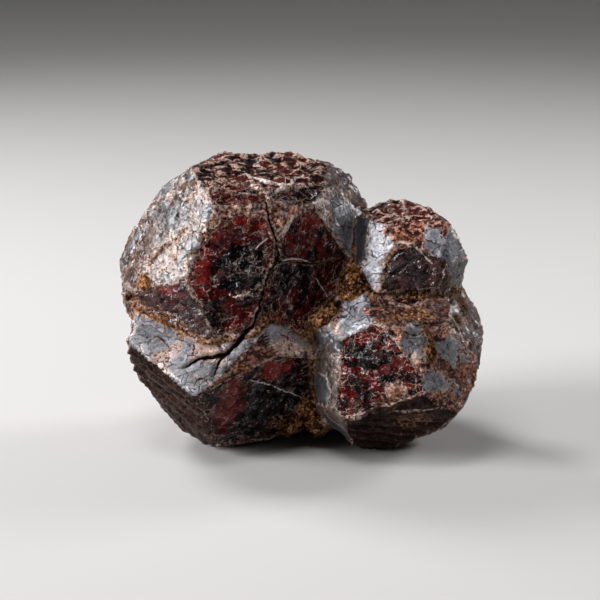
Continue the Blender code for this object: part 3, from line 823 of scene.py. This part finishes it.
# Windows: from black to bright red, the ground of lined ones, squiggles (pale flake edges painted as glints),
# streaks, and the rim, whose pale colour is partly a painted highlight.
DEPTH_BLACK, DEPTH_RED = (0.0022, 0.0013, 0.0014), (0.062, 0.0024, 0.0022)
DEPTH_BRIGHT = (0.20, 0.010, 0.006)
LINED_GROUND, STREAK = (0.034, 0.013, 0.015), (0.085, 0.055, 0.058)
GLINT_SQUIGGLE, RIM_GLINT_SQUIGGLE = (0.50, 0.38, 0.34), (0.55, 0.34, 0.26)
RIM_DARK, RIM_PALE_HIGHLIGHT = (0.060, 0.012, 0.009), (0.52, 0.36, 0.30)
# Growth lines, and worn edges whose pale colour is partly a painted highlight.
RIB_SHADOW, EDGE_DARK, EDGE_PALE_HIGHLIGHT = (0.012, 0.006, 0.005), (0.07, 0.016, 0.011), (0.60, 0.46, 0.40)
# Clay, and its dust on the stone beside it.
CLAY_DEEP, CLAY_BODY, CLAY_PALE = (0.040, 0.014, 0.006), (0.270, 0.112, 0.040), (0.52, 0.300, 0.160)
CLAY_GAP, DUST = (0.012, 0.006, 0.004), (0.34, 0.165, 0.080)
# Healed, rust-stained and open cracks.
HEALED_DARK, HEALED_PALE = (0.10, 0.04, 0.03), (0.72, 0.62, 0.56)
RUST_DARK, RUST_PALE, RUST_GAP = (0.15, 0.040, 0.008), (0.50, 0.235, 0.075), (0.016, 0.006, 0.004)
CRACK_DARK, CRACK_PALE, CRACK_GAP = (0.05, 0.015, 0.010), (0.30, 0.18, 0.13), (0.004, 0.002, 0.002)
# What specular tint a glossy and a dull spot have.
GLOSSY, DULL = (1.0, 1.0, 1.0), (0.02, 0.02, 0.02)


class Level:
    """What a node gives: a number, colour or place that varies over the skin. Numbers are added, taken
    away and multiplied as plain ones are, and each such sum is a node of its own."""

    def __init__(self, paint, socket):
        self.paint = paint
        self.socket = socket

    def __add__(self, other):
        return self.paint.sum("ADD", self, other)

    def __sub__(self, other):
        return self.paint.sum("SUBTRACT", self, other)

    def __rsub__(self, other):
        return self.paint.sum("SUBTRACT", other, self)

    def __mul__(self, other):
        return self.paint.sum("MULTIPLY", self, other)

    __radd__, __rmul__ = __add__, __mul__

    def other(self, output):
        """Another output of the same node."""
        return Level(self.paint, self.socket.node.outputs[output])


class Paint:
    """A material's nodes. Each method adds what it names and gives its output as a level."""

    def __init__(self, name):
        self.material = bpy.data.materials.new(name)
        self.material.use_nodes = True
        self.tree = self.material.node_tree
        self.shader = self.tree.nodes["Principled BSDF"]
        self.millimetres = self.vector("MULTIPLY", self.node("ShaderNodeTexCoord", {}, "Object"), (1 / MM,) * 3)

    def put(self, socket, value):
        """Links a level to a socket, or sets a plain number, place or colour on it."""
        if isinstance(value, Level):
            self.tree.links.new(value.socket, socket)
        else:
            socket.default_value = (*value, 1.0) if socket.type == "RGBA" else value

    def node(self, kind, inputs, output=0, **settings):
        """A node with its settings and inputs."""
        node = self.tree.nodes.new(kind)
        for key, value in settings.items():
            setattr(node, key, value)
        for key, value in inputs.items():
            self.put(node.inputs[key], value)
        return Level(self, node.outputs[output])

    def sum(self, operation, *values):
        """One step of arithmetic on numbers."""
        return self.node("ShaderNodeMath", dict(enumerate(values)), operation=operation)

    def vector(self, operation, *values, output="Vector"):
        """One step of arithmetic on places or colours, part by part."""
        return self.node("ShaderNodeVectorMath", dict(enumerate(values)), output, operation=operation)

    def mark(self, name, output="Fac"):
        """One of the marks that the skin's points carry."""
        return self.node("ShaderNodeAttribute", {}, output, attribute_name=name)

    def noise(self, size, detail=2.0, roughness=0.55, distortion=0.0, place=None, output="Fac"):
        """Noise whose blobs are about `size` millimetres wide."""
        return self.node("ShaderNodeTexNoise", {
            "Vector": place or self.millimetres, "Scale": 1.0 / size, "Detail": detail,
            "Roughness": roughness, "Distortion": distortion}, output)

    def cells(self, size, feature="F1", place=None, output="Distance"):
        """Cells about `size` millimetres wide: the distance to a cell's middle or border, or its colour."""
        inputs = {"Vector": place or self.millimetres, "Scale": 1.0 / size}
        return self.node("ShaderNodeTexVoronoi", inputs, output, feature=feature)

    def plates(self, size, place, stretch, wander, slope):
        """Crazed plates: millimetres from their borders, a number for each, and the height of each as it
        lies tilted its own way (hundredths of a millimetre)."""
        stray = self.noise(1.3 * size, 3.0, 0.6, output="Color")
        stray = self.vector("MULTIPLY", stray, (wander * size,) * 3)
        place = self.vector("ADD", self.vector("MULTIPLY", place, stretch), stray)
        border = self.cells(size, "DISTANCE_TO_EDGE", place)
        own = self.cells(size, "F1", place, "Color")
        offset = self.vector("SUBTRACT", place, self.cells(size, "F1", place, "Position"))
        lean = self.vector("SUBTRACT", own, (0.5,) * 3)
        height = self.vector("DOT_PRODUCT", offset, lean, output="Value")
        return size * border, self.parts(own), 100.0 * slope * height

    def ramp(self, value, low, high):
        """0 at low, 1 at high, and an even S between; low may be the higher number."""
        inputs = {"Value": value, "From Min": low, "From Max": high}
        return self.node("ShaderNodeMapRange", inputs, "Result", interpolation_type="SMOOTHSTEP")

    def mix(self, share, first, second):
        """A colour between two, share of the way to the second."""
        return self.node("ShaderNodeMix", {0: share, 6: first, 7: second}, 2, data_type="RGBA")

    def blend(self, share, first, second):
        """A number between two, share of the way to the second."""
        return self.node("ShaderNodeMix", {0: share, 2: first, 3: second}, data_type="FLOAT")

    def shade(self, colour, tone_and_light):
        """A colour times a number."""
        return self.vector("MULTIPLY", colour, self.node("ShaderNodeCombineXYZ", {0: tone_and_light, 1: tone_and_light, 2: tone_and_light}))

    def parts(self, vector):
        """The first part of a place or colour; `other` gives the rest."""
        return self.node("ShaderNodeSeparateXYZ", {0: vector})

    def line_edge(self, mark, wobble):
        """Millimetres from a line's border, below 0 inside it."""
        middle = self.parts(self.mark(mark, "Vector"))
        return self.sum("ABSOLUTE", middle + wobble) - middle.other(1)


def garnet_finish(name, gloss):
    """Weathered garnet: grey skin over rusty pink, bare dark windows with red depth and fine flake lines
    painted as glints, flaked patches, cracks, and grainy ochre clay. The marks say what lies where; noise frays
    each border.
    Colours are laid one over another, the outermost last. Painted light is laid in with them: each face's tone
    brightens or darkens it as light and shade, pale crests, window rims and worn edges are partly painted
    highlights, and dark pits are partly painted shade."""
    p = Paint(name)
    coarse = p.noise(4.2, 3.0)
    middle = p.noise(1.2, 3.0, 0.6)
    fine = p.noise(0.42, 3.0, 0.65)
    pitted = p.noise(0.33, 2.0, 0.6)
    fray = 0.6 * middle + 0.4 * fine - 0.5
    # The fine grain, pushed up where the relief stands proud and down where it is sunk: where it runs high the
    # colours take a pale crest, partly grain and partly painted highlight; where it runs low a dark pit, partly
    # painted shade in the hollows.
    etched = fine + 0.10 * p.mark("proud")
    crest_highlight = p.ramp(etched, 0.56, 0.68)
    pit_shade = p.ramp(etched, 0.45, 0.38)
    flow = p.mark("lines", "Vector")
    tone_and_light, ribs = p.mark("tone_and_light"), p.mark("ribs")

    def grained(low, high, dark, pale):
        """A colour that the fine noise takes from dark to pale."""
        return p.mix(p.ramp(fine, low, high), dark, pale)

    # rusty pink: what shows where the skin has worn off but the glassy inside isn't reached
    chip_border, chip_number, chip_height = p.plates(0.75, p.millimetres, (1.0, 1.0, 1.4), 0.9, 0.55)
    pink = p.mix(p.ramp(chip_number, 0.1, 0.9), PINK_DEEP, PINK)
    pink = p.mix(p.ramp(coarse, 0.50, 0.60), pink, p.mix(0.20, pink, PINK_STAIN))
    # Pale crests on the raised grain: partly a painted highlight.
    pink = p.mix(0.75 * crest_highlight, pink, p.mix(p.ramp(coarse, 0.45, 0.6), PINK_CREST_HIGHLIGHT, PINK_WARM_CREST_HIGHLIGHT))
    # The face's tone scales the pink, and so paints its light and shade: brighter on faces that catch the
    # lamps, darker on faces turned down.
    pink = p.shade(pink, p.sum("MINIMUM", tone_and_light, 2.4))
    pink = p.mix(p.ramp(chip_border, 0.06, 0.0), pink, CHIP_GAP)
    # Dark pits: partly painted shade in the hollows.
    pink = p.mix(0.9 * pit_shade, pink, PINK_PIT_SHADE)

    # grey skin: crazed plates, bluish sheets over a rosy ground, pitted and cracked; the crests' pale colour is
    # partly painted highlight and the pits' dark colour partly painted shade
    plate_border, plate_number, plate_height = p.plates(2.2, p.millimetres, (1.0, 1.0, 1.3), 1.0, 0.24)
    sheet_edge = p.mark("sheet") + 0.7 * fray
    sheets = p.ramp(sheet_edge, -0.01, 0.03)
    grey = p.mix(sheets, GREY_GROUND, GREY_SHEET)
    grey = p.shade(grey, p.blend(plate_number, 0.70, 1.35))
    # Pale crests on the raised grain: partly a painted highlight.
    grey = p.mix(crest_highlight * p.blend(sheets, 0.75, 0.20), grey, GREY_CREST_HIGHLIGHT)
    # The face's tone scales the grey, painting a sheen on faces that catch the lamps and shade on faces turned
    # down.
    grey = p.shade(grey, tone_and_light)
    # Dark pits: partly painted shade in the hollows.
    grey = p.mix(pit_shade * p.blend(sheets, 0.9, 0.45), grey, GREY_PIT_SHADE)
    sheet_border = p.ramp(sheet_edge, -0.09, -0.02) * p.ramp(sheet_edge, 0.03, 0.0)
    grey = p.mix(0.8 * sheet_border, grey, SHEET_BORDER)
    crackle = p.ramp(plate_border, 0.09, 0.03) * p.ramp(p.noise(2.6, 1.0), 0.43, 0.52)
    grey = p.mix(0.9 * crackle, grey, CRACKLE)

    skin_share = p.mark("skin") - 0.35 * p.mark("warm") + 1.6 * fray + 0.45 * (plate_number - 0.5)
    is_skin = p.ramp(skin_share, 0.34, 0.42)
    colour = p.vector("MINIMUM", p.mix(is_skin, pink, grey), (0.8,) * 3)

    # flaked patches: dark glassy scales in a pale net
    scale_border, scale_number, scale_height = p.plates(1.5, p.millimetres, (0.50, 1.0, 1.3), 1.3, 0.45)
    scales = p.mix(p.ramp(scale_number, 0.2, 0.8), SCALE_BLACK, SCALE_RED)
    # Pale crests on the scales: a painted glint.
    scales = p.mix(0.5 * crest_highlight, scales, SCALE_CREST_HIGHLIGHT)
    net = p.mix(p.ramp(etched, 0.44, 0.56), NET_DARK, NET_PALE)
    # The face's tone, kept at most 1, darkens the net as painted shade on dim faces.
    net = p.shade(net, p.sum("MINIMUM", tone_and_light, 1.0))
    flaked = p.mix(p.ramp(scale_border + 0.8 * fray, 0.10, 0.18), net, scales)
    is_flaked = p.ramp(p.mark("mottle") + 1.6 * fray, 0.45, 0.6)
    colour = p.mix(is_flaked, colour, flaked)

    # bare windows: black and deep red hackles with pale flake edges, painted as glints, that crowd towards the
    # border
    streaks = p.noise(0.36, 3.0, 0.6, 0.2, p.vector("MULTIPLY", flow, (0.22, 1.0, 1.0)))
    border = p.mark("bare") + 1.3 * fray
    hackle_border, hackle_number, hackle_height = p.plates(1.0, flow, (0.55, 1.0, 1.0), 1.5, 0.9)
    glow = p.mark("glow") + 2.2 * (p.noise(1.6, 3.0, 0.6, 1.0) - 0.5) + 0.9 * (hackle_number - 0.5)
    bare = p.mix(p.ramp(glow, 0.35, 1.1), DEPTH_BLACK, DEPTH_RED)
    bare = p.mix(0.5 * ribs, bare, LINED_GROUND)
    bare = p.mix(0.6 * p.ramp(glow, 1.1, 1.7), bare, DEPTH_BRIGHT)
    crowd = p.ramp(border, 2.0, 0.2)
    # Thin pale curls and plate borders: pale flake edges painted as glints.
    curl = p.ramp(p.sum("ABSOLUTE", p.noise(0.9, 2.5, 0.55, 1.4) - 0.5), 0.012, 0.0)
    squiggles = p.sum("MAXIMUM", p.ramp(hackle_border, 0.045, 0.01), curl)
    squiggles = squiggles * p.ramp(middle + 0.10 * crowd, 0.50, 0.60) * (1.0 - 0.9 * ribs)
    bare = p.mix(0.8 * squiggles, bare, p.mix(crowd, GLINT_SQUIGGLE, RIM_GLINT_SQUIGGLE))
    bare = p.mix(p.ramp(streaks, 0.53, 0.62) * ribs * 0.70, bare, STREAK)
    is_bare = p.ramp(border, -0.03, 0.09)
    # A pale band round each window: partly pale crinkled skin, partly a painted highlight along the rim.
    rim = p.ramp(border, -0.8, -0.05) * p.ramp(border, 0.25, 0.0)
    colour = p.mix(0.8 * rim, colour, grained(0.44, 0.54, RIM_DARK, RIM_PALE_HIGHLIGHT))
    colour = p.mix(is_bare, colour, bare)

    # growth lines outside the windows
    rib_shadow = p.ramp(streaks, 0.52, 0.40) * ribs * 0.8
    colour = p.mix(rib_shadow * (1.0 - is_bare), colour, RIB_SHADOW)

    # worn edges: paler, partly real wear and partly a painted highlight along the facet edges
    worn = p.ramp(p.mark("edge") + 0.9 * fray, 0.34, 0.10) * p.ramp(coarse, 0.40, 0.54)
    colour = p.mix(0.85 * worn, colour, grained(0.42, 0.54, EDGE_DARK, EDGE_PALE_HIGHLIGHT))

    # clay
    clay = p.mix(p.ramp(middle, 0.42, 0.60), CLAY_DEEP, CLAY_BODY)
    clay = grained(0.54, 0.62, clay, CLAY_PALE)
    clay = grained(0.46, 0.38, clay, CLAY_GAP)
    clay = p.shade(clay, p.blend(p.ramp(coarse, 0.44, 0.58), 0.40, 1.10))
    clay_edge = p.mark("clay") + 1.1 * fray
    is_clay = p.ramp(clay_edge, 0.10, 0.22)
    dust = p.ramp(clay_edge, -0.20, 0.12) * p.ramp(fine, 0.48, 0.56)
    colour = p.mix(0.75 * dust, colour, DUST)
    colour = p.mix(is_clay, colour, clay)

    # healed, rust-stained and open cracks
    wobble = 0.30 * (fine - 0.5)
    pale_edge, rust_edge, crack_edge = (p.line_edge(mark, wobble) for mark in ("pale", "rust", "crack"))
    healed = grained(0.36, 0.50, HEALED_DARK, HEALED_PALE)
    colour = p.mix(0.9 * p.ramp(pale_edge, 0.05, -0.03), colour, healed)
    colour = p.mix(0.75 * p.ramp(rust_edge, 0.34, 0.06), colour, grained(0.42, 0.58, RUST_DARK, RUST_PALE))
    colour = p.mix(p.ramp(rust_edge, 0.02, -0.06), colour, RUST_GAP)
    colour = p.mix(0.6 * p.ramp(crack_edge, 0.24, 0.03), colour, grained(0.42, 0.54, CRACK_DARK, CRACK_PALE))
    is_crack = p.ramp(crack_edge, 0.04, -0.04)
    colour = p.mix(is_crack, colour, CRACK_GAP)

    # roughness and fine height (hundredths of a millimetre), laid over one another in the same order
    roughness = p.blend(is_skin, 0.55, p.blend(pitted, 0.26, 0.46))
    low = p.blend(is_skin, chip_height + 9.0 * pitted, plate_height + 9.0 * pitted - 8.0 * crackle)
    roughness = p.blend(is_flaked, roughness, 0.36)
    low = p.blend(is_flaked, low, scale_height + 6.0 * pitted) + streaks * (14.0 * ribs)
    roughness = p.blend(is_bare, roughness, p.blend(fine, 0.05, 0.22))
    low = p.blend(is_bare, low, hackle_height + 9.0 * p.noise(0.6, 1.0))
    roughness = p.blend(is_clay, roughness, 0.88)
    low = p.blend(is_clay, low, 16.0 * (p.cells(0.42) + fine))
    roughness = p.blend(is_crack, roughness, 0.9)
    bump = p.node("ShaderNodeBump", {"Distance": 1.0, "Strength": 1.0, "Height": 0.01 * MM * low}, "Normal")

    # gloss: only the crests of windows and scales glint, and cracks, pits and clay don't
    dull = p.ramp(etched, 0.60, 0.50)
    matt = p.blend(is_flaked, p.blend(is_skin, 0.85, 0.0), 0.93 * dull)
    matt = p.blend(is_bare, matt, dull * (0.93 - ribs))
    sunk = p.sum("MAXIMUM", p.sum("MAXIMUM", matt, 0.9 * pit_shade), p.sum("MAXIMUM", is_crack, is_clay))

    for key, value in (
        ("Base Color", colour), ("Roughness", roughness), ("Normal", bump), ("IOR", GARNET_IOR),
        ("Specular Tint", p.mix(sunk, GLOSSY, DULL)), ("Specular IOR Level", gloss),
    ):
        p.put(p.shader.inputs[key], value)
    return p.material


def plain_finish(name, colour, roughness):
    """A plain, even finish for the floor."""
    material = bpy.data.materials.new(name)
    material.use_nodes = True
    shader = material.node_tree.nodes["Principled BSDF"]
    shader.inputs["Base Color"].default_value = (*colour, 1.0)
    shader.inputs["Roughness"].default_value = roughness
    return material


# ---------------------------------------------------------------- studio

# Lamps: name, bearing and rise (degrees), distance and width (m), power (W), spread (degrees).
LAMPS = (
    ("key", -76, 19, 0.75, 0.33, 2.0, 90),
    ("top", -28, 66, 0.42, 0.15, 0.55, 180),
    ("back_left", -132, 38, 0.42, 0.14, 0.47, 110),
    ("back_right", 118, 24, 0.42, 0.13, 0.34, 110),
    ("fill", 40, 30, 0.70, 0.20, 0.08, 180),
)
PAPER, PAPER_ROUGHNESS = (0.56, 0.55, 0.54), 0.9
SKY = (0.03, 0.03, 0.032)
LENS, CLIP = 149.7, (0.01, 10.0)          # the lens (mm), and how near and far the camera sees (m)


def make_sweep():
    """The floor and the wall behind it, one sheet: level, then a quarter turn, then upright. Along the
    sheet a profile gives depth and height; across it runs the width."""
    bend, back, front, tall, wide = 0.20, 0.55, -0.75, 1.1, 1.6
    turn = np.linspace(0, math.pi / 2, 24)
    depth = np.concatenate(([front], back + bend * np.sin(turn), [back + bend]))
    height = np.concatenate(([0], bend - bend * np.cos(turn), [tall]))
    across = np.array((-wide, wide))
    grid = np.stack([part.ravel() for part in (
        np.tile(across, len(depth)), np.repeat(depth, 2), np.repeat(height, 2))], axis=1)
    start = 2 * np.arange(len(depth) - 1)
    squares = np.stack((start, start + 1, start + 3, start + 2), axis=1)
    mesh = bpy.data.meshes.new("floor")
    mesh.from_pydata(grid.tolist(), [], squares.tolist())
    mesh.shade_smooth()
    floor = bpy.data.objects.new("floor", mesh)
    floor.data.materials.append(plain_finish("pale_paper", PAPER, PAPER_ROUGHNESS))
    bpy.context.scene.collection.objects.link(floor)
    return floor


def aimed(thing, place, target):
    """Puts a light or camera at a place, looking at a target (metres)."""
    ahead = (np.array(target) - place) / np.linalg.norm(np.array(target) - place)
    right = np.cross(ahead, (0.0, 0.0, 1.0))
    right /= np.linalg.norm(right)
    up = np.cross(right, ahead)
    matrix = np.eye(4)
    matrix[:3, 0], matrix[:3, 1], matrix[:3, 2], matrix[:3, 3] = right, up, -ahead, place
    thing.matrix_world = matrix.T.tolist()
    bpy.context.scene.collection.objects.link(thing)


def soft_light(name, bearing, rise, distance, size, power, spread):
    """A square soft light at a bearing and rise from the cluster, that spreads over an angle."""
    light = bpy.data.lights.new(name, "AREA")
    light.size = size
    light.energy = power
    light.spread = math.radians(spread)
    aimed(bpy.data.objects.new(name, light), facing(bearing, rise) * distance + AIM * MM, AIM * MM)


def make_studio():
    """The lamps, the faint light from all round, and the camera."""
    for lamp in LAMPS:
        soft_light(*lamp)
    world = bpy.data.worlds.new("studio")
    world.use_nodes = True
    world.node_tree.nodes["Background"].inputs["Color"].default_value = (*SKY, 1.0)
    bpy.context.scene.world = world
    camera = bpy.data.cameras.new("camera")
    camera.lens = LENS
    camera.clip_start, camera.clip_end = CLIP
    standing = bpy.data.objects.new("camera", camera)
    aimed(standing, EYE * MM, AIM * MM)
    bpy.context.scene.camera = standing


skin = make_skin()
for finish, gloss in SLOTS:
    skin.data.materials.append(garnet_finish(finish, gloss))
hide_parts("garnet_cluster")
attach(skin, "root")
make_sweep()
make_studio()
bpy.context.scene.view_settings.view_transform = "Standard"
